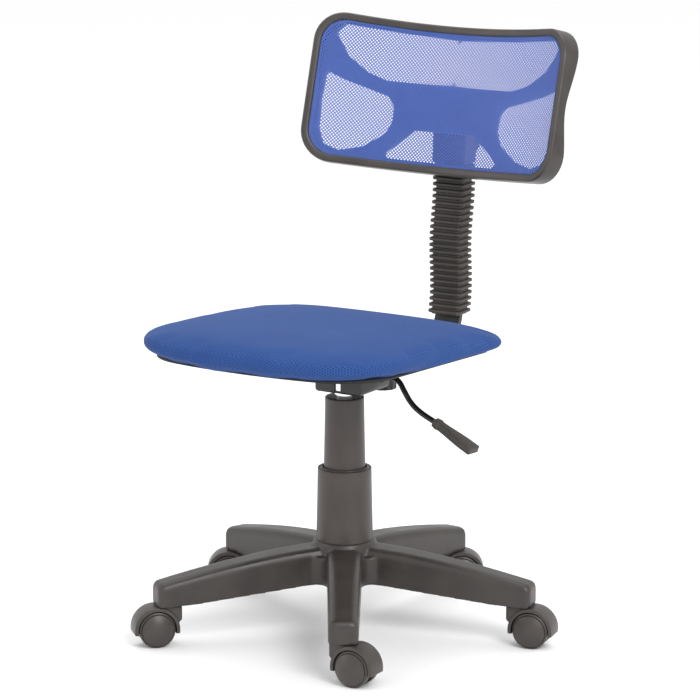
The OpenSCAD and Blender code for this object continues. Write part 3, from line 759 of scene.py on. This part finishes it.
def caster_wheel():
    """A wheel on the +Y side: a short tread and a domed face with a fine ring round it."""
    dome = 38.5
    rim = WHEEL_W - (dome - math.sqrt(dome ** 2 - WHEEL_R ** 2))
    face = [(r, WHEEL_W - dome + math.sqrt(dome ** 2 - r ** 2)) for r in (21.6, 18, 14, 10, 6, 3, 0)]
    outline = [(3.05, 0), (8, 0), (8, 7), (21, 7), (21, 0)] + arc(24.2, 0.8, 0.8, -90, 0, 3)
    outline += arc(24.2, rim - 1.2, 0.8, 0, 60, 3) + [(22.8, rim + 0.6), (22.3, rim + 0.3)] + face
    wheel = lathe("wheel", outline, 80)
    wheel.rotation_euler.x = -math.pi / 2
    wheel.location = mm(TRAIL, INNER, WHEEL_R)
    return settle(wheel)


wheel = caster_wheel()
print("wheel faces:", len(wheel.data.polygons))

# %% Five casters
TRAIL_ANGLES = [1, 11, 31, 211, 226]


def placed_copy(piece, leg_angle, trail_angle, mirrored=False):
    """A copy of a caster piece under its leg, trailing the way that caster does."""
    only(piece)
    bpy.ops.object.duplicate()
    copy = bpy.context.object
    if mirrored:
        copy.data.transform(Matrix.Scale(-1, 4, (0, 1, 0)))
        edit(copy)
        pick_all()
        bpy.ops.mesh.flip_normals()
        only(copy)
    copy.rotation_euler.z = math.radians(trail_angle)
    copy.location = mm(STEM_CIRCLE * math.cos(leg_angle), STEM_CIRCLE * math.sin(leg_angle), 0)
    return copy


for number, (leg_angle, trail_angle) in enumerate(zip(LEG_ANGLES, TRAIL_ANGLES), 1):
    body = f"caster_{number}"
    finish_piece(placed_copy(hood, leg_angle, trail_angle), body + "_fender", caster_plastic, body,
                 "caster_plastic", body + "_hood")
    for side in ("left", "right"):
        finish_piece(placed_copy(wheel, leg_angle, trail_angle, side == "right"),
                     f"{body}_disc_{side}", caster_plastic, f"{body}_wheel_{side}", "wheel_plastic",
                     f"{body}_wheel_{side}")
for pattern in (hood, wheel):
    bpy.data.objects.remove(pattern)

# %% [markdown]
# Under the seat sits a folded steel box, with rounded bends and an open window at the front through
# which the plated end of the spring shines. Behind it a narrower guide carries the flat bar. The
# box is a cube with its bends bevelled, hollowed from above, and sliced along the slope of the
# seat's plate.

# %% Mechanism box
BOX_HALF, BOX_FRONT, BOX_REAR, BOX_LOW = 37, -20, 60, 336
GUIDE_HALF, GUIDE_REAR, GUIDE_LOW = 26, 130, 352
SHEET = 2.5
BAR_Z = 365
SEAT_TILT = math.radians(2.7)


def rounded_box(x0, x1, y0, y1, z0, z1, radius, segments=3):
    """A box between two corners with all its edges rounded."""
    box = block(((x0 + x1) / 2, (y0 + y1) / 2, (z0 + z1) / 2), (x1 - x0, y1 - y0, z1 - z0))
    return soften(box, radius, segments) if radius else box


def mechanism():
    """Box and guide, hollow, with the front window, the bar's slot and the lever's slot."""
    box = rounded_box(-BOX_HALF, BOX_HALF, BOX_FRONT, BOX_REAR, BOX_LOW, 420, 5, 4)
    guide = rounded_box(-GUIDE_HALF, GUIDE_HALF, BOX_REAR - 12, GUIDE_REAR, GUIDE_LOW, 420, 3)
    fuse(box, guide)
    tools = [
        rounded_box(-BOX_HALF + SHEET, BOX_HALF - SHEET, BOX_FRONT + SHEET, BOX_REAR - SHEET,
                    BOX_LOW + SHEET, 430, 0),
        rounded_box(-GUIDE_HALF + 6, GUIDE_HALF - 6, BOX_REAR - 14, GUIDE_REAR + 9, BAR_Z + 9, 440, 0),
        rounded_box(-20.5, 20.5, BOX_REAR - 14, GUIDE_REAR + 9, BAR_Z - 4.4, BAR_Z + 4.4, 0),
        rounded_box(-5.5, 5.5, BOX_FRONT - 5, BOX_FRONT + 5, BOX_LOW + 4, BOX_LOW + 17, 0),
        rounded_box(BOX_HALF - 8, BOX_HALF + 5, 34, 57, BOX_LOW + 10, BOX_LOW + 37, 0),
    ]
    tools += [cylinder(18.1, 20, (0, 0, BOX_LOW - 7), 64), cylinder(4.1, 30, (0, 102, GUIDE_LOW), 32)]
    for tool in tools:
        cut_away(box, tool)
    plate_low, plate_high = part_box("seat_plate")
    edit(box)
    pick_all()
    bpy.ops.mesh.bisect(plane_co=(0, plate_low.y, plate_high.z - 3.3 * MM),
                        plane_no=(0, math.sin(SEAT_TILT), math.cos(SEAT_TILT)), use_fill=True,
                        clear_outer=True)
    only(box)
    bearing = rounded_box(20, BOX_HALF - 1.5, 16, 26, 366, 382, 1)
    cut_away(bearing, cylinder(5.05, 20, (28, 21, 374), 40, lying=True))
    fuse(box, bearing)
    return shade(box, 30)


finish_piece(mechanism(), "pressed_mechanism_box", black_steel, "seat_unit", "black_steel",
             "mechanism_box")

# %% [markdown]
# Two hand knobs clamp the bar: one under the guide for the depth, one behind the bracket for the
# height. Each is a drum with grip ribs. The ribs are made from a many-sided cylinder: groups of its
# side faces are pushed in, and what stays proud is rounded by a bevel.

# %% Hand knobs
KNOB_R = 19
RIBS = 12


def hand_knob(height):
    """A ribbed drum standing on the origin along +Z."""
    sides = RIBS * 6
    knob = cylinder(KNOB_R, height, (0, 0, height / 2), sides)
    edit(knob)

    def in_groove(centre, normal):
        turn = math.degrees(math.atan2(centre.y, centre.x)) % (360 / RIBS)
        return abs(normal.z) < 0.5 and turn > 180 / RIBS

    pick_faces(knob, in_groove)
    bpy.ops.mesh.inset(thickness=0.8 * MM, use_even_offset=True)
    bpy.ops.transform.shrink_fatten(value=-1.6 * MM)
    pick_faces(knob, lambda centre, normal: abs(normal.z) > 0.9 and abs(centre.z - height * MM) < MM)
    bpy.ops.mesh.inset(thickness=4 * MM)
    bpy.ops.mesh.inset(thickness=1 * MM, depth=-1 * MM)
    return soften(knob, 0.7, 2, 35)


depth_knob = hand_knob(24)
depth_knob.rotation_euler.x = math.pi
depth_knob.location = mm(0, 102, GUIDE_LOW - 7)
finish_piece(depth_knob, "seat_depth_knob", knob_plastic, "depth_clamp", "knob_plastic", "depth_knob")

low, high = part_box("height_knob")
lean = math.radians(3)
height_knob = hand_knob(20)
height_knob.rotation_euler.x = -math.pi / 2 - lean
along = Vector((0, math.cos(lean), -math.sin(lean)))
height_knob.location = Vector((0, (low.y + high.y) / 2, (low.z + high.z) / 2)) - along * 10 * MM
finish_piece(height_knob, "back_height_knob", knob_plastic, "height_clamp", "knob_plastic",
             "height_knob")

# %% [markdown]
# The lever is a bent round rod that comes out of the box's side, drops away in two bends and ends in
# a dipped plastic paddle. A rod like this is quickest as a curve with a round bevel. Its points are
# the bends of the real rod, and turning it into a mesh closes it off.

# %% Lever rod
LEVER_POINTS = [(-3, 0, 378), (16, 2, 378), (24, 6, 376), (28, 12, 374), (28, 30, 374), (31, 38, 368),
                (36, 46, 360), (41, 50, 355), (46, 50, 352), (57, 49, 347), (67, 47, 335), (77, 46, 322),
                (89, 44, 313), (123, 40, 298)]
GRIP_END = (186, 31, 270)


def bent_rod(points, radius):
    """A round rod through points given in millimetres."""
    bpy.ops.curve.primitive_nurbs_path_add()
    rod = bpy.context.object
    curve = rod.data
    curve.splines.clear()
    spline = curve.splines.new("BEZIER")
    spline.bezier_points.add(len(points) - 1)
    for knot, place in zip(spline.bezier_points, points):
        knot.co = mm(*place)
        knot.handle_left_type = knot.handle_right_type = "AUTO"
    curve.bevel_depth = radius * MM
    curve.bevel_resolution = 5
    curve.resolution_u = 6
    curve.use_fill_caps = True
    only(rod)
    bpy.ops.object.convert(target="MESH")
    rod = bpy.context.object
    edit(rod)
    pick_all()
    bpy.ops.mesh.remove_doubles(threshold=WELD)
    bpy.ops.mesh.normals_make_consistent(inside=False)
    return shade(rod, 50)


rod = bent_rod(LEVER_POINTS, 4)
finish_piece(rod, "height_lever_rod", lever_steel, "lever", "black_steel", "lever_rod")

# %% Lever grip
def paddle():
    """The grip along +X: a short collar, a slim neck and a flat squared end."""
    start, end = Vector(mm(*LEVER_POINTS[-1])), Vector(mm(*GRIP_END))
    long = (end - start).length / MM
    stations = [(-4, 11, 11), (2, 13, 12), (4, 13, 12), (6, 11, 11), (18, 12.5, 11), (32, 17, 10.5),
                (46, 21, 10), (long - 2, 22, 10), (long, 20, 9)]
    x0, wide0, tall0 = stations[0]
    grip = block((x0 - 0.5, 0, 0), (1, wide0, tall0))
    edit(grip)
    pick_faces(grip, lambda centre, normal: normal.x > 0.9)
    for x1, wide1, tall1 in stations:
        extrude(x1 - x0, 0, 0)
        resize(1, wide1 / wide0, tall1 / tall0, (x1, 0, 0))
        x0, wide0, tall0 = x1, wide1, tall1
    edit(grip)
    pick_all()
    bpy.ops.mesh.remove_doubles(threshold=WELD)
    only(grip)
    soften(grip, 2.4, 3, 25)
    grip.matrix_world = Matrix.Translation(start) @ (end - start).to_track_quat("X", "Z").to_matrix().to_4x4()
    return settle(grip)


finish_piece(paddle(), "height_lever_grip", grip_plastic, "lever", "grip_plastic", "lever_grip")

# %% [markdown]
# The seat is foam under tight spacer fabric. Its outline and its slope are already in the frame: the
# foam block and the board below it. A copy of both, fused by a voxel remesh, is one closed form a
# little smaller than the finished cushion. Its edge is drawn thinner, where the cover pulls the foam
# down. Cloth pressure then swells it, with its underside held, so the top crowns and the sides round
# over as foam does under a stretched cover. Smoothing takes away the voxel steps.

# %% Seat cushion
def copy_of_nodes(*names):
    """A merged copy of CAD nodes' shapes, as a new object."""
    copies = []
    for name in names:
        copy = bpy.data.objects.new(name + "_copy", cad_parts[name].data.copy())
        bpy.context.collection.objects.link(copy)
        copies.append(copy)
    piece = join(*copies)
    edit(piece)
    pick_all()
    bpy.ops.mesh.remove_doubles(threshold=WELD)
    only(piece)
    return piece


def swell(piece, held, pressure, most):
    """Blows the piece up as cloth, with the points of held kept still and no move over most."""
    group = piece.vertex_groups.new(name="held")
    group.add([v.index for v in piece.data.vertices if held(v.co)], 1.0, "REPLACE")
    before = [v.co.copy() for v in piece.data.vertices]
    cloth = piece.modifiers.new("Cloth", "CLOTH")
    cloth.settings.use_pressure = True
    cloth.settings.uniform_pressure_force = pressure
    cloth.settings.vertex_group_mass = "held"
    cloth.settings.effector_weights.gravity = 0
    cloth.settings.tension_stiffness = 40
    cloth.settings.compression_stiffness = 40
    for step in range(1, 16):
        scene.frame_set(step)
    only(piece)
    bpy.ops.object.modifier_apply(modifier="Cloth")
    scene.frame_set(1)
    for vertex, home in zip(piece.data.vertices, before):
        move = vertex.co - home
        if move.length > most:
            vertex.co = home + move * (most / move.length)
    piece.vertex_groups.clear()
    return piece


def thin_the_edge(piece, top_drop, bottom_lift):
    """Draws top and underside together towards the outline, most at the very edge."""
    places = [v.co for v in piece.data.vertices]
    half_w = max(p.x for p in places)
    front, rear = min(p.y for p in places), max(p.y for p in places)
    slope = math.tan(SEAT_TILT)
    level = [p.z + p.y * slope for p in places]
    low, high = min(level), max(level)
    for vertex, height in zip(piece.data.vertices, level):
        u, v = vertex.co.x / half_w, (2 * vertex.co.y - front - rear) / (rear - front)
        edge = min(1, max(0, ((abs(u) ** 3 + abs(v) ** 3) ** (1 / 3) - 0.4) / 0.6))
        share = (height - low) / (high - low)
        vertex.co.z += (bottom_lift * (1 - share) * edge ** 4 - top_drop * share * edge ** 2) * MM
    return piece


cushion = copy_of_nodes("seat_foam", "seat_board")
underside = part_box("seat_board")[0].z
modify(cushion, "REMESH", mode="VOXEL", voxel_size=5 * MM, adaptivity=0.0)
modify(cushion, "SMOOTH", factor=0.5, iterations=50)
thin_the_edge(cushion, 11, 2)
swell(cushion, lambda place: place.z < underside + 14 * MM, 3.5, 5 * MM)
modify(cushion, "SMOOTH", factor=0.5, iterations=10)
modify(cushion, "SUBSURF", levels=1, render_levels=1)
print("cushion:", [[round(x, 4) for x in corner] for corner in (cushion.bound_box[0], cushion.bound_box[6])])

# %% Seat cover's own map
def map_in_metres(piece):
    """Lays a UV map over the piece from its six sides, one unit to the metre."""
    edit(piece)
    pick_all()
    bpy.ops.uv.cube_project(cube_size=1.0, scale_to_bounds=False)
    only(piece)
    return piece


map_in_metres(cushion)
bpy.ops.object.shade_smooth()
finish_piece(cushion, "seat_cushion", seat_fabric, "seat_unit", "seat_fabric", "seat_cover", "seat_foam",
             "seat_board")

# %% [markdown]
# A rubber bellows hides the upright bar. Its folds are a rounded rectangle pulled up ring by ring,
# out for each ridge and in for each groove, and it hangs with a lazy bend because it is longer than
# the gap it fills.

# %% Bellows
FOLDS = 25
FOLD_DEPTH = 4
BELLOWS_W, BELLOWS_D = 52, 41


def bellows():
    """Folds from the bellows' foot to its head, along the leaning bar."""
    low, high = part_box("bar_bellows")
    foot, head = low.z / MM, high.z / MM
    pitch = (head - foot) / FOLDS
    middle = (low.y + high.y) / 2 / MM
    piece = new_piece(bpy.ops.mesh.primitive_plane_add, size=1, location=mm(0, middle, foot))
    piece.scale = mm(BELLOWS_W - 2 * FOLD_DEPTH, BELLOWS_D - 2 * FOLD_DEPTH, 1)
    settle(piece)
    edit(piece, "VERT")
    pick_all()
    bpy.ops.mesh.bevel(offset=6 * MM, segments=4, affect="VERTICES")
    bpy.ops.mesh.select_mode(type="FACE")
    pick_all()
    inner = (BELLOWS_W - 2 * FOLD_DEPTH, BELLOWS_D - 2 * FOLD_DEPTH)
    outward = (BELLOWS_W / inner[0], BELLOWS_D / inner[1], 1)
    inward = (inner[0] / BELLOWS_W, inner[1] / BELLOWS_D, 1)
    height = foot
    for _ in range(FOLDS):
        for share, scale in ((0.15, None), (0.15, outward), (0.4, None), (0.15, inward), (0.15, None)):
            extrude(0, 0, pitch * share)
            height += pitch * share
            if scale:
                resize(*scale, (0, middle, height))
    only(piece)
    lean = math.tan(math.radians(3))
    for vertex in piece.data.vertices:
        share = (vertex.co.z / MM - foot) / (head - foot)
        sway = 3.2 * math.sin(3 * math.pi * share) * (1 - 0.3 * share)
        vertex.co.y += (vertex.co.z - (low.z + high.z) / 2) * lean + sway * MM
    edit(piece)
    face_outward()
    return soften(piece, 0.5, 2, 30)


fold_tube = bellows()
low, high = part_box("bar_bellows")
settle(fold_tube)
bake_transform(fold_tube)
finish_piece(fold_tube, "bar_bellows_folds", rubber, None, "bellows_rubber", "bar_bellows")

# %% [markdown]
# The backrest is a shallow shell, part of an upright cylinder that wraps round the sitter's back, and
# it leans backward. Everything on it is easiest to draw flat, seen from the front, then bent with
# the Simple Deform modifier, leaned and moved into place. The flat width is the length of the arc,
# a little more than the width across.

# %% Backrest sizes
BACK_R = 437
BACK_W, BACK_H = 405, 216
RECLINE = math.radians(16)
RIM_W, RIM_DEPTH = 11, 24
CORNER_R = 45
DISH = 6
FLAT_W = 2 * BACK_R * math.asin(BACK_W / 2 / BACK_R)
BACK_Z = 703
BACK_Y = 286 + (BACK_Z - 399) * math.tan(math.radians(3)) - 23.5
print("flat width", round(FLAT_W, 1), "mm; back at", round(BACK_Y, 1))


def bend_round(piece):
    """Bends a flat piece in the XZ plane round the sitter, and puts it on the chair."""
    settle(piece)
    wide = max(v.co.x for v in piece.data.vertices) - min(v.co.x for v in piece.data.vertices)
    modify(piece, "SIMPLE_DEFORM", deform_method="BEND", deform_axis="Z", angle=-wide / (BACK_R * MM))
    piece.rotation_euler.x = -RECLINE
    piece.location = mm(0, BACK_Y, BACK_Z)
    return settle(piece)


def outline_points(inset, corner_steps=10, side_steps=16):
    """The backrest's flat outline seen from the front, drawn in by inset: round corners, dished top."""
    half_w, half_h, r = FLAT_W / 2 - inset, BACK_H / 2 - inset, CORNER_R - inset * 0.8
    corners = ((1, 1, 0), (-1, 1, 90), (-1, -1, 180), (1, -1, 270))
    points = []
    for index, (sx, sz, first) in enumerate(corners):
        cx, cz = sx * (half_w - r), sz * (half_h - r)
        for i in range(corner_steps + 1):
            turn = math.radians(first + 90 * i / corner_steps)
            points.append((cx + r * math.cos(turn), cz + r * math.sin(turn)))
        nx, nz = corners[(index + 1) % 4][:2]
        tx, tz = nx * (half_w - r), nz * (half_h - r)
        x0, z0 = points[-1]
        x1, z1 = (tx, z0) if index % 2 == 0 else (x0, tz)
        steps = side_steps * (2 if index % 2 == 0 else 1)
        points += [(x0 + (x1 - x0) * i / steps, z0 + (z1 - z0) * i / steps) for i in range(1, steps)]
    return [(x, z - DISH * max(0, math.cos(math.pi * x / (2 * half_w))) if z > 0 else z)
            for x, z in points]


print("outline points:", len(outline_points(0)))

# %% [markdown]
# The rim is a black moulding with a round outer edge. It is deepest at the corners and slimmer at
# mid-height, where the sides are waisted. A flat loop of faces is drawn between two outlines, given
# depth by extruding it backward, rounded with a bevel, and its back is moved forward at
# mid-height before it is bent.

# %% Backrest rim
def loop_between(outer, inner, y):
    """A ring of faces between two outlines with the same number of points, facing forward."""
    mesh = bpy.data.meshes.new("loop")
    count = len(outer)
    points = [mm(x, y, z) for x, z in outer + inner]
    faces = [(i, (i + 1) % count, count + (i + 1) % count, count + i) for i in range(count)]
    mesh.from_pydata(points, [], faces)
    piece = bpy.data.objects.new("loop", mesh)
    bpy.context.collection.objects.link(piece)
    return only(piece)


def back_rim():
    """The rim, flat, deep and rounded."""
    rim = loop_between(outline_points(0), outline_points(RIM_W), -3)
    edit(rim)
    pick_all()
    extrude(0, 3 + RIM_DEPTH, 0)
    face_outward()
    soften(rim, 3.4, 4, 50)
    for vertex in rim.data.vertices:
        waist = math.exp(-((vertex.co.z / MM + 5) / 48) ** 2) * min(1, (abs(vertex.co.x) / MM / 150) ** 4)
        slope = max(0, vertex.co.y / MM) / RIM_DEPTH
        vertex.co.y -= 11 * MM * waist * slope
    return rim


finish_piece(bend_round(back_rim()), "backrest_rim", rim_plastic, "backrest", "frame_plastic", "back_rim")

# %% [markdown]
# The net is real geometry, because light has to pass through it. A grid is turned by forty-five
# degrees, every cell is inset, and the inner faces are deleted: what stays is a lattice of yarn
# with diamond holes. Cells outside the rim's groove are deleted, and Solidify gives the yarn its
# thickness.

# %% Backrest net
HOLE_PITCH = 3.6
YARN_W = 1.3
YARN_T = 0.6


def back_net():
    """A lattice of yarn inside the rim."""
    reach = math.hypot(FLAT_W, BACK_H) / 2 + 10
    cells = 2 * round(reach / HOLE_PITCH)
    net = new_piece(bpy.ops.mesh.primitive_grid_add, x_subdivisions=cells, y_subdivisions=cells,
                    size=cells * HOLE_PITCH * MM, rotation=(0, 0, math.pi / 4))
    settle(net)
    net.rotation_euler.x = math.pi / 2
    settle(net)
    half_w, half_h, r = (FLAT_W / 2 - RIM_W + 4) * MM, (BACK_H / 2 - RIM_W + 4) * MM, 36 * MM

    def outside(centre, normal):
        dish = DISH * MM * max(0, math.cos(math.pi * centre.x / (2 * half_w))) if centre.z > 0 else 0
        x, z = abs(centre.x) - (half_w - r), abs(centre.z + dish) - (half_h - r)
        return max(x, z) > r or (x > 0 and z > 0 and math.hypot(x, z) > r)

    edit(net)
    pick_faces(net, outside)
    bpy.ops.mesh.delete(type="FACE")
    pick_all()
    bpy.ops.mesh.inset(thickness=YARN_W / 2 * MM, use_individual=True)
    bpy.ops.mesh.delete(type="FACE")
    only(net)
    return modify(net, "SOLIDIFY", thickness=YARN_T * MM, offset=0)


net = bend_round(back_net())
finish_piece(net, "backrest_net", net_yarn, "backrest", "back_mesh_fabric", "back_mesh")
print("net faces:", len(net.data.polygons))

# %% [markdown]
# What is left are pieces whose engineering shape is already the right one: tubes, plates, screws,
# rods and bushes. They keep their shape and take the finish of the real ones.

# %% Finishes for the other pieces
FINISHES = {
    "caster_sockets": zinc_steel, "stand_tube": black_steel, "guide_bush": bush_plastic,
    "thrust_bearing": bearing_steel, "piston_rod": bearing_steel, "piston": bearing_steel,
    "rod_clip": zinc_steel, "gas_cylinder": chrome, "taper_socket": chrome,
    "seat_plate": black_steel, "plate_bolts": zinc_steel, "t_nuts": zinc_steel,
    "underside_cover": felt, "valve_button": bearing_steel, "back_bar": black_steel,
    "depth_screw": zinc_steel, "back_bracket": cover_plastic, "bracket_screws": zinc_steel,
    "back_frame": strut_plastic, "height_screw": zinc_steel,
}
for number in range(1, 6):
    FINISHES[f"caster_{number}_stem"] = zinc_steel
    FINISHES[f"caster_{number}_axle"] = bearing_steel


def refinish(node, material):
    """Assigns a material to every slot of a CAD node."""
    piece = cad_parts[node]
    if not piece.material_slots:
        piece.data.materials.append(material)
    for material_slot in piece.material_slots:
        material_slot.material = material


for node, material in FINISHES.items():
    refinish(node, material)
print("refinished:", len(FINISHES))
